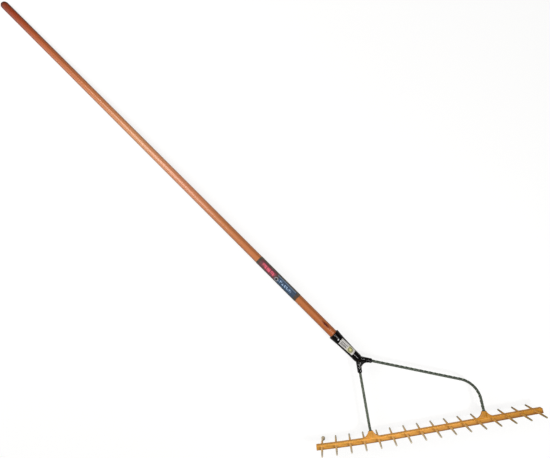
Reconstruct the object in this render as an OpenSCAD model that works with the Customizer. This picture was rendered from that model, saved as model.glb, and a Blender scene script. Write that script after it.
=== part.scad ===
// Hay rake with a double row of teeth. A long wooden handle sits in a forked socket, two coated
// steel stays run from the fork to a moulded bar, and sixteen pegs pass through the bar, so the
// rake works either way up. The bar is set askew to the handle.
//
// Frame: the origin is on the handle's axis, where its bare grip begins above the printed sleeve.
// +Y runs along the handle to its free end, +Z is up out of the rake's plane, along the teeth.

/* [Handle] */
// Diameter of the round wooden handle along its grip
handle_d = 28; // [26:0.5:30]
// Diameter of the handle where it enters the socket
root_d = 27.4; // [25:0.2:28]
// Length of the whole handle, with the end inside the socket
handle_len = 1780; // [1400:10:2000]
// Length of the tapered end inside the socket
butt_len = 85; // [70:1:88]
// Diameter of the tapered end at its tip
butt_tip_d = 18; // [14:0.5:19]
// Radius of the rounding at the free end
end_round = 10; // [4:0.5:12]

/* [Printed sleeve] */
// Bare wood between the socket's mouth and the sleeve
sleeve_gap = 160; // [60:1:300]
// Length of the film sleeve
sleeve_len = 179; // [100:1:260]
// Thickness of the film
film_t = 0.5; // [0.3:0.1:0.8]
// Bare wood between the sleeve and the start of the grip
grip_margin = 2; // [1:0.5:10]

/* [Fork socket] */
// Distance along the handle's axis from the bar to the point where the two arms meet it
fork_reach = 302; // [280:1:330]
// Distance from that point to the socket's mouth
socket_len = 105; // [102:1:120]
// Outer diameter at the mouth
mouth_d = 36; // [34:0.5:40]
// Length of the flared stretch at the mouth
mouth_flare = 34; // [20:1:40]
// Outer diameter below the flared stretch
throat_d = 30.6; // [29.5:0.2:33]
// Outer diameter of the neck, where the arms branch off
neck_d = 27; // [25.5:0.5:29]
// Length of the straight neck
neck_len = 20; // [10:1:25]
// Outer diameter of an arm
arm_d = 14.5; // [13:0.5:17]
// Length of an arm, from the point where the arms meet
arm_len = 46; // [40:1:55]
// Depth of the seat that holds a stay in its arm
arm_seat = 30; // [20:1:32]
// Rounding of an arm's end
arm_round = 2.6; // [1:0.2:2.8]
// Radius of the hollow between the two arms
crotch_r = 17; // [10:1:18]
// Thickness of the web between the two arms
web_t = 10; // [6:0.5:13]

/* [Fixing screw] */
// Distance of the screw from the socket's mouth
screw_inset = 22; // [12:1:30]
// Diameter of the screw's head
screw_head_d = 6.4; // [5:0.2:8]
// Height of the screw's head
screw_head_h = 2.2; // [1.6:0.1:3]
// Diameter of the screw's shank
screw_d = 3; // [2.5:0.1:3.6]
// Length of the screw under its head
screw_len = 14; // [10:0.5:15]
// Depth of the flat seat under the screw's head
seat_depth = 0.4; // [0.3:0.1:0.8]

/* [Sticker] */
// Distance of the sticker from the socket's mouth
sticker_inset = 33; // [30:1:36]
// Length of the sticker along the socket
sticker_len = 52; // [30:1:52]
// Width of the sticker, seen from above
sticker_w = 20; // [10:1:22]
// Rounding of the sticker's corners
sticker_round = 2; // [0.5:0.5:4]
// Thickness of the sticker
sticker_t = 0.3; // [0.2:0.1:0.5]
// Thickness of the glue under the sticker
glue_t = 0.1; // [0.05:0.05:0.2]
// Turn of the sticker round the socket, in degrees
sticker_turn = 10; // [-20:1:20]

/* [Stays] */
// Outer diameter of a stay's steel tube
tube_d = 6.4; // [5:0.2:7]
// Wall of the steel tube
tube_wall = 0.8; // [0.5:0.1:1.2]
// Thickness of the green plastic coat
coat_t = 0.9; // [0.5:0.1:1.1]
// Radius of the bend, along the middle of a stay
bend_r = 74; // [50:1:90]
// Height of the left stay's corner over the bar's centre line
left_corner = 48; // [40:1:80]
// Height of the right stay's corner over the bar's centre line
right_corner = 111; // [95:1:130]

/* [Bar] */
// Angle between the bar and the line square to the handle, in degrees
bar_skew = 35; // [25:1:40]
// Distance of the middle of the row of teeth to the left of the handle's axis
bar_shift = 2; // [-10:1:15]
// Height of the bar in the rake's plane
bar_w = 15; // [13:0.5:20]
// Thickness of the bar along the teeth
bar_t = 14; // [13:0.5:20]
// Rounding of the bar's long edges
bar_round = 2.4; // [1:0.2:4]
// Bar left over beyond the first tooth, at its left end
left_over = 22; // [12:1:40]
// Bar left over beyond the last tooth, at its right end
right_over = 18; // [12:1:40]

/* [Stay bosses] */
// Distance from the middle of the row of teeth to a boss, counted in gaps between teeth
boss_gap_count = 4; // [3:1:5]
// Height of a boss's mouth over the bar's centre line
boss_top = 27; // [24:1:34]
// Outer diameter of a boss
boss_d = 12; // [11:0.5:14]
// Radius of the flare between a boss and the bar
flare_r = 26; // [10:1:30]
// Thickness of the flare
flare_t = 11; // [8:0.5:12]
// Depth of the seat that holds a stay in its boss
boss_seat = 22; // [15:1:26]

/* [Teeth] */
// Number of teeth, each one peg with two points
tooth_count = 16; // [12:2:20]
// Distance from one tooth to the next
tooth_pitch = 44; // [40:1:50]
// Distance from the bar's middle plane to a tooth's point
tooth_reach = 65.5; // [50:0.5:90]
// Diameter of a peg inside the bar
peg_d = 8; // [7:0.2:9]
// Diameter of a tooth at its root
tooth_root_d = 6.8; // [6:0.2:7]
// Diameter of a tooth at its point
tooth_tip_d = 5; // [4:0.2:6]
// Rounding of a tooth's point
tip_round = 2; // [0.5:0.1:2]
// Diameter of the raised collar round a tooth, on the bar
collar_d = 11; // [10.2:0.2:13]
// Height of the raised collar
collar_h = 1.5; // [0.5:0.5:3]

/* [Fits] */
// Gap all round between a piece and its seat
fit_gap = 0.05; // [0.03:0.01:0.1]

/* [Hidden] */
// Fineness of round surfaces
$fn = 64;
// How far a cut runs past the surface it opens
cut = 1;
// How far a stay's straight stretches run into its bend, and how much thinner the bend is
lap = 0.5;
bend_thin = 0.1;
// Share of the collar's width that is left at its top
collar_slope = 0.88;
// Length of the screw's pointed end and its width at the very tip
point_len = 3;
point_d = 0.8;
// Rounding of the screw's head, as a share of its height
head_round = 0.7;

stay_d = tube_d + 2 * coat_t;
bar_len = (tooth_count - 1) * tooth_pitch + left_over + right_over;
boss_x = boss_gap_count * tooth_pitch;
mouth_y = fork_reach + socket_len;
butt_y = mouth_y - butt_len;
grip_y = mouth_y + sleeve_gap + sleeve_len + grip_margin;
end_y = butt_y + handle_len;
screw_y = mouth_y - screw_inset;

// The point where the arms' axes meet, seen from the bar: x along the bar, y square to it.
apex = [bar_shift - fork_reach * sin(bar_skew), fork_reach * cos(bar_skew)];

// Angle of a stay's upper stretch from the line square to the bar, for a boss at x and a corner
// at height y. It is positive towards +x.
function lean(x, y) = atan2(x - apex.x, apex.y - y);

left_lean = lean(-boss_x, left_corner);
right_lean = lean(boss_x, right_corner);

// Radius of the socket's outside at a height y over the bar's centre
function socket_r(y) =
    y > mouth_y - mouth_flare
    ? throat_d / 2 + (mouth_d - throat_d) / 2 * (y - mouth_y + mouth_flare) / mouth_flare
    : y > fork_reach + neck_len
    ? neck_d / 2 + (throat_d - neck_d) / 2 * (y - fork_reach - neck_len)
        / (socket_len - mouth_flare - neck_len)
    : neck_d / 2;

// Radius of the bare handle at a height y between the socket's mouth and the grip
function handle_r(y) = (root_d + (handle_d - root_d) * (y - mouth_y) / (grip_y - mouth_y)) / 2;

function tooth_name(i) = str("tooth_", i < 10 ? "0" : "", i);

// Places what is drawn from where the handle's axis meets the bar, in the rake's frame.
module from_bar() {
    translate([0, -grip_y, 0]) children();
}

// Stands what is drawn along +Z on the handle's axis, at a height y over the bar's centre.
module along_handle(y) {
    from_bar() translate([0, y, 0]) rotate([-90, 0, 0]) children();
}

// Turns what is drawn in the bar's own frame, with its length along X, to the bar's skew.
module in_bar() {
    from_bar() rotate([0, 0, -bar_skew]) translate([-bar_shift, 0, 0]) children();
}

// Lays what is drawn along +Z on a stay's upper stretch, from the point where the arms meet.
module along_arm(angle) {
    in_bar() translate(apex) rotate([0, 0, angle - 90]) rotate([0, 90, 0]) children();
}

// A rectangle with rounded corners, centred
module rounded_rect(w, h, r) {
    square([w - 2 * r, h], center = true);
    square([w, h - 2 * r], center = true);
    for (sx = [-1, 1])
        for (sy = [-1, 1])
            translate([sx * (w / 2 - r), sy * (h / 2 - r)]) circle(r);
}

// Right half of a round rod's outline, with its far end rounded. It is spun into a solid.
module rod_outline(r0, r1, len, round) {
    polygon([[0, 0], [r0, 0], [r1, len - round], [r1 - round, len], [0, len]]);
    translate([r1 - round, len - round]) intersection() {
        circle(round);
        square(2 * round);
    }
}

// A stay's path as a solid rod: a straight stretch out of the fork, a bend, and a straight
// stretch into the boss at x. It starts a distance start from the arms' meeting point and ends
// at a height stop over the bar's centre line. The bend is drawn a touch thinner than the
// straight stretches, which run a little way into it, so the three join into one solid.
module stay_rod(x, corner, d, start, stop) {
    side = x < apex.x ? 1 : 0;
    turn = abs(lean(x, corner));
    tangent = bend_r * tan(turn / 2);
    reach = norm([x - apex.x, apex.y - corner]);
    in_bar() translate([x, 0, 0]) mirror([side, 0, 0]) {
        translate([-abs(x - apex.x), apex.y, 0])
            rotate([0, 0, turn - 90])
                rotate([0, 90, 0])
                    translate([0, 0, start]) cylinder(d = d, h = reach - tangent - start + lap);
        translate([-bend_r, corner - tangent, 0])
            rotate_extrude(angle = turn, $fn = 180)
                translate([bend_r, 0]) circle(d = d - bend_thin, $fn = 48);
        translate([0, stop, 0])
            rotate([-90, 0, 0]) cylinder(d = d, h = corner - tangent - stop + lap);
    }
}

// The steel tube inside a stay
module stay_tube(x, corner) {
    bore = tube_d - 2 * tube_wall;
    start = arm_len - arm_seat;
    stop = boss_top - boss_seat;
    color("silver")
        difference() {
            stay_rod(x, corner, tube_d, start, stop);
            stay_rod(x, corner, bore, start - cut, stop - cut);
        }
}

// The plastic coat round a stay's tube
module stay_coat(x, corner) {
    start = arm_len - arm_seat;
    stop = boss_top - boss_seat;
    color("#3B4A3C")
        difference() {
            stay_rod(x, corner, stay_d, start, stop);
            stay_rod(x, corner, tube_d, start - cut, stop - cut);
        }
}

// The wooden handle: a tapered end in the socket, a slight taper up to the grip, the round grip
module handle() {
    color("#B8693A")
        difference() {
            along_handle(butt_y)
                rotate_extrude() {
                    polygon([
                        [0, 0],
                        [butt_tip_d / 2, 0],
                        [root_d / 2, butt_len],
                        [handle_d / 2, grip_y - butt_y],
                        [0, grip_y - butt_y]
                    ]);
                    translate([0, grip_y - butt_y])
                        rod_outline(handle_d / 2, handle_d / 2, end_y - grip_y, end_round);
                }
            screw_place() screw_body();
        }
}

// The printed film sleeve, shrunk on the handle
module printed_sleeve() {
    low = mouth_y + sleeve_gap;
    high = low + sleeve_len;
    color("#3C4048")
        along_handle(low)
            difference() {
                cylinder(r1 = handle_r(low) + film_t, r2 = handle_r(high) + film_t, h = sleeve_len);
                sleeve_bore(low);
            }
}

// The handle's own taper under the sleeve, run a little past both of its ends
module sleeve_bore(low) {
    translate([0, 0, -cut])
        cylinder(
            r1 = handle_r(low - cut),
            r2 = handle_r(low + sleeve_len + cut),
            h = sleeve_len + 2 * cut
        );
}

// Outside of the socket round the handle's axis, made larger all round by grow
module socket_shell(grow) {
    throat_h = socket_len - mouth_flare;
    along_handle(fork_reach)
        rotate_extrude()
            polygon([
                [0, 0],
                [neck_d / 2 + grow, 0],
                [neck_d / 2 + grow, neck_len],
                [throat_d / 2 + grow, throat_h],
                [mouth_d / 2 + grow, socket_len],
                [0, socket_len]
            ]);
}

// The web that rounds out the hollow between the arms
module crotch_web() {
    half = (right_lean - left_lean) / 2;
    foot = (arm_d / 2 + crotch_r) / tan(half);
    middle = (arm_d / 2 + crotch_r) / sin(half);
    in_bar() translate(apex) rotate([0, 0, (right_lean + left_lean) / 2 - 90])
        linear_extrude(web_t, center = true)
            difference() {
                polygon([
                    [0, 0],
                    [foot * cos(half), foot * sin(half)],
                    [middle, 0],
                    [foot * cos(half), -foot * sin(half)]
                ]);
                translate([middle, 0]) circle(crotch_r);
            }
}

// The black forked socket that holds the handle and both stays
module fork_socket() {
    color("#1C1C1E")
        difference() {
            union() {
                socket_shell(0);
                along_handle(fork_reach) sphere(d = neck_d);
                crotch_web();
                for (angle = [left_lean, right_lean])
                    along_arm(angle)
                        rotate_extrude() rod_outline(arm_d / 2, arm_d / 2, arm_len, arm_round);
            }
            along_handle(butt_y)
                rotate_extrude()
                    polygon([
                        [0, 0],
                        [butt_tip_d / 2 + fit_gap, 0],
                        [root_d / 2 + fit_gap, butt_len],
                        [root_d / 2 + fit_gap, butt_len + cut],
                        [0, butt_len + cut]
                    ]);
            for (angle = [left_lean, right_lean])
                along_arm(angle)
                    translate([0, 0, arm_len - arm_seat])
                        cylinder(d = stay_d + 2 * fit_gap, h = arm_seat + cut);
            screw_place() {
                cylinder(d = screw_d + 2 * fit_gap, h = screw_len, center = true);
                cylinder(d = screw_head_d + 2 * fit_gap, h = screw_head_h + cut);
            }
        }
}

// The sticker on the front of the socket
module socket_sticker() {
    middle = mouth_y - sticker_inset - sticker_len / 2;
    color("#E4E2DA")
        intersection() {
            difference() {
                socket_shell(glue_t + sticker_t);
                socket_shell(glue_t);
            }
            from_bar() translate([0, middle, 0]) rotate([0, sticker_turn, 0])
                linear_extrude(mouth_d) rounded_rect(sticker_w, sticker_len, sticker_round);
        }
}

// Places the screw, pointing down, with the underside of its head at the origin.
module screw_place() {
    from_bar() translate([0, screw_y, socket_r(screw_y) - seat_depth]) children();
}

// The screw's shank and point, below its head
module screw_body() {
    translate([0, 0, -screw_len]) {
        cylinder(d1 = point_d, d2 = screw_d, h = point_len);
        translate([0, 0, point_len]) cylinder(d = screw_d, h = screw_len - point_len);
    }
}

// The screw that holds the handle in the socket
module fixing_screw() {
    color("#C8CACC")
        screw_place() {
            rotate_extrude()
                rod_outline(
                    screw_head_d / 2,
                    screw_head_d / 2,
                    screw_head_h,
                    screw_head_h * head_round
                );
            screw_body();
        }
}

// One boss with its flares, standing on the bar at its own x
module boss() {
    rotate([-90, 0, 0]) cylinder(d = boss_d, h = boss_top);
    linear_extrude(flare_t, center = true)
        difference() {
            translate([0, boss_top / 2])
                square([boss_d + 2 * flare_r, boss_top], center = true);
            for (s = [-1, 1])
                translate([s * (boss_d / 2 + flare_r), bar_w / 2 + flare_r]) circle(flare_r);
        }
}

// The raised collar round a tooth, on both faces of the bar
module tooth_collar() {
    for (s = [0, 1])
        mirror([0, 0, s])
            translate([0, 0, bar_t / 2 - cut])
                cylinder(d1 = collar_d, d2 = collar_d * collar_slope, h = cut + collar_h);
}

// The bar, with its bosses for the stays and its holes for the teeth
module rake_bar() {
    color("#E0983F")
        difference() {
            in_bar() {
                translate([(right_over - left_over) / 2, 0, 0])
                    rotate([90, 0, 90])
                        linear_extrude(bar_len, center = true)
                            rounded_rect(bar_w, bar_t, bar_round);
                for (x = [-boss_x, boss_x])
                    translate([x, 0, 0]) boss();
                for (i = [1 : tooth_count])
                    at_tooth(i) tooth_collar();
            }
            in_bar() {
                for (x = [-boss_x, boss_x])
                    translate([x, boss_top - boss_seat, 0])
                        rotate([-90, 0, 0])
                            cylinder(d = stay_d + 2 * fit_gap, h = boss_seat + cut);
                for (i = [1 : tooth_count])
                    at_tooth(i)
                        cylinder(
                            d = peg_d + 2 * fit_gap,
                            h = bar_t + 2 * (collar_h + cut),
                            center = true
                        );
            }
        }
}

// Moves a piece that is drawn at the middle of the row of teeth to a tooth's place in it.
module at_tooth(i) {
    translate([(i - (tooth_count + 1) / 2) * tooth_pitch, 0, 0]) children();
}

// One peg: a plain core in the bar and a tapered tooth out of each face
module tooth(i) {
    core = bar_t / 2 + collar_h;
    color("#B09A6E")
        in_bar() at_tooth(i) {
            cylinder(d = peg_d, h = 2 * core, center = true);
            for (s = [0, 1])
                mirror([0, 0, s])
                    translate([0, 0, core])
                        rotate_extrude()
                            rod_outline(
                                tooth_root_d / 2,
                                tooth_tip_d / 2,
                                tooth_reach - core,
                                tip_round
                            );
        }
}

handle();
printed_sleeve();
fork_socket();
socket_sticker();
fixing_screw();
stay_tube(-boss_x, left_corner);  // left_stay_tube
stay_coat(-boss_x, left_corner);  // left_stay_coat
stay_tube(boss_x, right_corner);  // right_stay_tube
stay_coat(boss_x, right_corner);  // right_stay_coat
rake_bar();
for (i = [1 : tooth_count])
    tooth(i);
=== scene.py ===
import math

import bmesh
import bpy
from mathutils import Euler, Matrix, Vector


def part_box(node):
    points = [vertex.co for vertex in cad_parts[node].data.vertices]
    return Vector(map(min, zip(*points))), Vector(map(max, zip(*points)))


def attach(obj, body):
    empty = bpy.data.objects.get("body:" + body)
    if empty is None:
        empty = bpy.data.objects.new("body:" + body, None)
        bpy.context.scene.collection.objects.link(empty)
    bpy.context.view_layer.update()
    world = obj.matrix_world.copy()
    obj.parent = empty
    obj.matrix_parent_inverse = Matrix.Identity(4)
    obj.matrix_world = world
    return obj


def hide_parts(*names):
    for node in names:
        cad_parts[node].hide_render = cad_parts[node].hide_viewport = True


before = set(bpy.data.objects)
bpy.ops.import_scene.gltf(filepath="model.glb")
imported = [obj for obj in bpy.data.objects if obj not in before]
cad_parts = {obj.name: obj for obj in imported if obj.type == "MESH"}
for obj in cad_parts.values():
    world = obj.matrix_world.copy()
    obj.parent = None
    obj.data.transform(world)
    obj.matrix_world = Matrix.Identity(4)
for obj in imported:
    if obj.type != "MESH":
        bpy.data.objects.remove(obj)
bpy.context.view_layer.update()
MM = 0.001

# Handle. One long pole of pale hardwood, turned round, sanded and stained a warm orange brown,
# with its lower end tapered to fit the socket. A thin clear varnish closes the wood, and goes
# over the sawn free end too. The CAD node has the real shape, so it stays and gets its finish.
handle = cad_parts["handle"]
handle_low, handle_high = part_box("handle")
ring_gap = 3.4 * MM
fibre_gap = 0.7 * MM
pore_gap = 0.45 * MM
cloud_gap = 14 * MM
grain_stretch = 0.035
# The wave node's own wavelength, in metres at a scale of 1
unit_wave = 0.314


def linear(code):
    """An sRGB hex colour as the linear RGBA that Blender works in."""
    parts = [int(code[i:i + 2], 16) / 255 for i in (1, 3, 5)]
    return [p / 12.92 if p <= 0.04045 else ((p + 0.055) / 1.055) ** 2.4 for p in parts] + [1]


def feed(tree, node, inputs):
    """Gives a node its inputs: a socket is linked, and a value is set on the node's own socket."""
    for name, value in inputs.items():
        if isinstance(value, bpy.types.NodeSocket):
            tree.links.new(value, node.inputs[name])
        else:
            node.inputs[name].default_value = value


def add_node(tree, kind, inputs=None, stops=None, **settings):
    """Adds a node with its settings, its inputs and, on a ramp, its stops."""
    made = tree.nodes.new("ShaderNode" + kind)
    for name, value in settings.items():
        setattr(made, name, value)
    feed(tree, made, inputs or {})
    for i, (place, shade) in enumerate(stops or []):
        ramp = made.color_ramp
        stop = ramp.elements[i] if i < 2 else ramp.elements.new(place)
        stop.position = place
        stop.color = linear(shade) if isinstance(shade, str) else [shade, shade, shade, 1]
    return made


def new_finish(name):
    """A fresh material, its node tree, its shader, and the object coordinates to draw on."""
    made = bpy.data.materials.new(name)
    made.use_nodes = True
    tree = made.node_tree
    shader = next(n for n in tree.nodes if n.type == "BSDF_PRINCIPLED")
    return made, tree, shader, add_node(tree, "TexCoord").outputs["Object"]


def dress(piece, finish):
    """Gives a piece one finish all over."""
    piece.data.materials.clear()
    piece.data.materials.append(finish)


def over(tree, ground, mask, shade):
    """Paints a colour over a ground where the mask is 1."""
    return add_node(tree, "Mix", {
        0: mask, 6: ground, 7: linear(shade) if isinstance(shade, str) else shade,
    }, data_type="RGBA").outputs[2]


def both(tree, *masks):
    """The product of masks or numbers."""
    mask = masks[0]
    for other in masks[1:]:
        mask = add_node(tree, "Math", {0: mask, 1: other}, operation="MULTIPLY").outputs[0]
    return mask


def round_angle(tree, split):
    """The angle round the handle's axis, 0 on the upper side, from split coordinates."""
    return add_node(tree, "Math", {0: split.outputs["X"], 1: split.outputs["Z"]},
                    operation="ARCTAN2").outputs[0]


def shaded(tree, tone, *shades):
    """A colour multiplied by each shade in turn."""
    for shade in shades:
        tone = add_node(tree, "Mix", {0: 1.0, 6: tone, 7: shade},
                        data_type="RGBA", blend_type="MULTIPLY").outputs[2]
    return tone


# Stained, varnished hardwood: growth rings drawn out along the pole, fine fibres and short dark
# pores under a satin varnish. The pole goes from dark red brown at its free end to a pale orange
# halfway, and is a deeper orange again near the socket. This is partly uneven stain and partly
# painted light: the pale orange halfway is a painted highlight, where the soft box's gloss falls.
wood, tree, shader, place = new_finish("stained_varnished_hardwood")
split = add_node(tree, "SeparateXYZ", {0: place})
along = add_node(tree, "MapRange", {
    "Value": split.outputs["Y"], "From Min": handle_low.y, "From Max": handle_high.y,
}).outputs[0]
# Uneven stain along the pole, with a painted highlight in its pale orange halfway
stain_and_highlight = add_node(tree, "ValToRGB", {0: along}, stops=[
    (0.00, "#C76F37"), (0.055, "#CD733B"), (0.11, "#D47D44"), (0.19, "#DB8247"), (0.27, "#DF8851"),
    (0.33, "#E18C54"), (0.44, "#F7A072"), (0.57, "#EEA36D"), (0.71, "#E2884F"), (0.855, "#CC6932"),
    (0.96, "#AD3E0A"), (1.00, "#903604"),
]).outputs[0]
pith = add_node(tree, "Mapping", {
    "Vector": place, "Location": (41 * MM, 0, 26 * MM), "Rotation": (0.17, 0, 0.12),
    "Scale": (1, grain_stretch, 1),
}).outputs[0]
rings = add_node(tree, "TexWave", {
    "Vector": pith, "Scale": unit_wave / ring_gap, "Distortion": 3.5, "Detail": 2,
    "Detail Scale": 0.9,
}, wave_type="RINGS", rings_direction="Y").outputs["Fac"]
ring_shade = add_node(tree, "ValToRGB", {0: rings}, stops=[
    (0.0, 0.80), (0.30, 0.93), (0.75, 1.0), (1.0, 0.97),
]).outputs[0]
drawn_out = add_node(tree, "Mapping", {"Vector": place, "Scale": (1, grain_stretch, 1)}).outputs[0]
fibres = add_node(tree, "TexNoise", {
    "Vector": drawn_out, "Scale": 1 / fibre_gap, "Detail": 3, "Roughness": 0.6,
}).outputs["Fac"]
fibre_shade = add_node(tree, "ValToRGB", {0: fibres}, stops=[(0.25, 0.90), (0.75, 1.0)]).outputs[0]
pores = add_node(tree, "TexNoise", {
    "Vector": drawn_out, "Scale": 1 / pore_gap, "Detail": 1, "Roughness": 0.4,
}).outputs["Fac"]
pore_shade = add_node(tree, "ValToRGB", {0: pores}, stops=[(0.60, 1.0), (0.72, 0.72)]).outputs[0]
cloud = add_node(tree, "TexNoise", {
    "Vector": drawn_out, "Scale": 1 / cloud_gap, "Detail": 2, "Roughness": 0.5,
}).outputs["Fac"]
cloud_shade = add_node(tree, "ValToRGB", {0: cloud}, stops=[(0.30, 0.86), (0.70, 1.0)]).outputs[0]
# A small dark knot, drawn out along the pole, just above the socket
knot_at = (4.4 * MM, -302.28 * MM, 13 * MM)
knot_size = (5.5 * MM, 22 * MM, 5 * MM)
knot = add_node(tree, "Mapping", {
    "Vector": place, "Location": [-at / size for at, size in zip(knot_at, knot_size)],
    "Scale": [1 / size for size in knot_size],
}).outputs[0]
knot_near = add_node(tree, "VectorMath", {0: knot}, operation="LENGTH").outputs["Value"]
knot_shade = add_node(tree, "ValToRGB", {0: knot_near}, stops=[
    (0.0, "#502810"), (0.35, "#9E663C"), (1.0, "#FFFFFF"),
]).outputs[0]
# Painted shade round the pole: the upper side is lightest, and the colour darkens towards
# both flanks, faster on the right
turned_by = round_angle(tree, split)
upper_side = add_node(tree, "MapRange", {
    "Value": turned_by, "From Min": -1.2, "From Max": 1.2,
}).outputs[0]
painted_side_shade = add_node(tree, "ValToRGB", {0: upper_side}, stops=[
    (0.0, 0.84), (0.2, 0.87), (0.38, 0.97), (0.5, 1.0), (0.62, 0.93), (0.74, 0.84), (1.0, 0.84),
]).outputs[0]
# Hands have worn the varnish duller at the free end. Towards the free end the right flank is
# darkened too: painted shade.
flank = add_node(tree, "MapRange", {
    "Value": turned_by, "From Min": 0.6, "From Max": 1.2, "To Max": 0.45,
}).outputs[0]
free_end_weight = add_node(tree, "MapRange", {"Value": along, "From Min": 0.62, "From Max": 0.9}).outputs[0]
painted_flank_shade = add_node(tree, "Math", {0: 1.0, 1: both(tree, flank, free_end_weight)},
                 operation="SUBTRACT").outputs[0]
varnish = add_node(tree, "MapRange", {
    "Value": along, "From Min": 0.78, "From Max": 1.0, "To Min": 1.0, "To Max": 0.3,
}).outputs[0]
tone = shaded(tree, stain_and_highlight, painted_side_shade, painted_flank_shade, ring_shade, fibre_shade, pore_shade, cloud_shade,
              knot_shade)
# The sawn and rounded free end drinks more stain: its end grain is darker
end_grain = add_node(tree, "MapRange", {
    "Value": along, "From Min": 0.989, "From Max": 0.996, "To Max": 0.9,
}).outputs[0]
tone = over(tree, tone, end_grain, "#34180A")
gloss = add_node(tree, "MapRange", {"Value": cloud, "To Min": 0.55, "To Max": 0.45}).outputs[0]
relief = add_node(tree, "Bump", {
    "Height": fibres, "Strength": 0.25, "Distance": 0.05 * MM,
}).outputs[0]
pits = add_node(tree, "Bump", {
    "Height": pores, "Strength": 0.2, "Distance": 0.06 * MM, "Normal": relief,
}, invert=True).outputs[0]
feed(tree, shader, {
    "Base Color": tone, "Roughness": gloss, "Normal": pits, "Specular IOR Level": 0.2,
    "Coat Weight": varnish, "Coat Roughness": 0.2,
})
dress(handle, wood)


# Printed sleeve. A tube of thin printed PVC film, glued into a tube along a lap on the underside
# and shrunk on the handle with hot air. The film lies close, with faint waves and uneven ends.
sleeve_low, sleeve_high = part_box("printed_sleeve")
sleeve_len = sleeve_high.y - sleeve_low.y
film_r = 14.5 * MM
film_t = 0.25 * MM
film_wave = 0.16 * MM
film_taper = 0.16 * MM
lap_half = 4.5 * MM
lap_t = 0.12 * MM
rim_room = 1.2 * MM
rim_wave = 1.6 * MM
merge_gap = 0.01 * MM


def deselect():
    """Clears the selection, so that the next operator acts on the new piece alone."""
    if bpy.context.object and bpy.context.object.mode != "OBJECT":
        bpy.ops.object.mode_set(mode="OBJECT")
    bpy.ops.object.select_all(action="DESELECT")


def take(piece):
    """Makes one piece the selected and active one."""
    deselect()
    piece.select_set(True)
    bpy.context.view_layer.objects.active = piece


def pick(piece, kind, test):
    """In edit mode, selects the verts, edges or faces whose centre and normal pass a test."""
    bpy.ops.mesh.select_mode(type={"verts": "VERT", "edges": "EDGE", "faces": "FACE"}[kind])
    bpy.ops.mesh.select_all(action="DESELECT")
    work = bmesh.from_edit_mesh(piece.data)
    for part in getattr(work, kind):
        if kind == "verts":
            centre, facing = part.co, part.normal
        elif kind == "edges":
            centre = (part.verts[0].co + part.verts[1].co) / 2
            facing = (part.verts[1].co - part.verts[0].co).normalized()
        else:
            centre, facing = part.calc_center_median(), part.normal
        part.select_set(test(centre, facing))
    work.select_flush_mode()
    bmesh.update_edit_mesh(piece.data)


def modify(piece, kind, **settings):
    """Adds a modifier with its settings and applies it at once."""
    take(piece)
    added = piece.modifiers.new(kind.title(), kind)
    for name, value in settings.items():
        setattr(added, name, value)
    bpy.ops.object.modifier_apply(modifier=added.name)


def settle(piece, turn, move=(0, 0, 0)):
    """Turns and moves a piece to its place, and leaves the place in its mesh."""
    take(piece)
    piece.rotation_euler = Euler([math.radians(a) for a in turn])
    piece.location = move
    bpy.ops.object.transform_apply(location=True, rotation=True, scale=True)


def edit_all(piece):
    """Opens a piece in edit mode with all of it selected."""
    take(piece)
    bpy.ops.object.mode_set(mode="EDIT")
    bpy.ops.mesh.select_all(action="SELECT")


def close_up(piece):
    """Merges doubles and turns all faces outwards."""
    edit_all(piece)
    bpy.ops.mesh.remove_doubles(threshold=merge_gap)
    bpy.ops.mesh.normals_make_consistent(inside=False)
    bpy.ops.object.mode_set(mode="OBJECT")


def smooth(piece, angle):
    """Smooth shading that keeps edges sharper than the angle crisp."""
    take(piece)
    bpy.ops.object.shade_smooth_by_angle(angle=math.radians(angle))


deselect()
bpy.ops.mesh.primitive_cone_add(
    vertices=72, end_fill_type="NOTHING", depth=sleeve_len - rim_room,
    radius1=sleeve_high.x - film_taper - film_wave, radius2=sleeve_high.x - film_wave,
)
sleeve = bpy.context.object
sleeve.name = "shrunk_film_sleeve"
bpy.ops.object.mode_set(mode="EDIT")
pick(sleeve, "edges", lambda c, n: abs(n.z) > 0.9)
bpy.ops.mesh.subdivide(number_cuts=59)
pick(sleeve, "faces", lambda c, n: abs(c.x) < lap_half and c.y > 0)
bpy.ops.mesh.extrude_region_shrink_fatten(TRANSFORM_OT_shrink_fatten={"value": -lap_t})
bpy.ops.object.mode_set(mode="OBJECT")
waves = bpy.data.textures.new("shrink_waves", "CLOUDS")
waves.noise_scale = 0.016
waves.noise_depth = 1
modify(sleeve, "DISPLACE", texture=waves, texture_coords="LOCAL", strength=2 * film_wave,
       mid_level=0.5)
rims = sleeve.vertex_groups.new(name="rims")
half_len = sleeve_len / 2 - 1 * MM
rims.add([v.index for v in sleeve.data.vertices if abs(v.co.z) > half_len], 1, "ADD")
modify(sleeve, "DISPLACE", texture=waves, texture_coords="LOCAL", strength=rim_wave,
       mid_level=0.5, direction="Z", vertex_group="rims")
modify(sleeve, "SOLIDIFY", thickness=film_t, offset=-1)
settle(sleeve, (-90, 0, 0), (0, (sleeve_low.y + sleeve_high.y) / 2, 0))
close_up(sleeve)
smooth(sleeve, 50)

# Shrunk PVC film, printed from behind: a satin charcoal ground that shows the light softly, with
# a blue and a dark red panel on the upper side, and a plain ring between them. The ground is
# lighter and greyer towards both edges, most on the right: a painted sheen.
film, tree, shader, place = new_finish("printed_shrink_film_pvc")
split = add_node(tree, "SeparateXYZ", {0: place})
side_mm = both(tree, round_angle(tree, split), film_r / MM)
along_mm = add_node(tree, "MapRange", {
    "Value": split.outputs["Y"], "From Min": sleeve_low.y, "From Max": sleeve_high.y,
    "To Max": sleeve_len / MM,
}).outputs[0]


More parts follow.
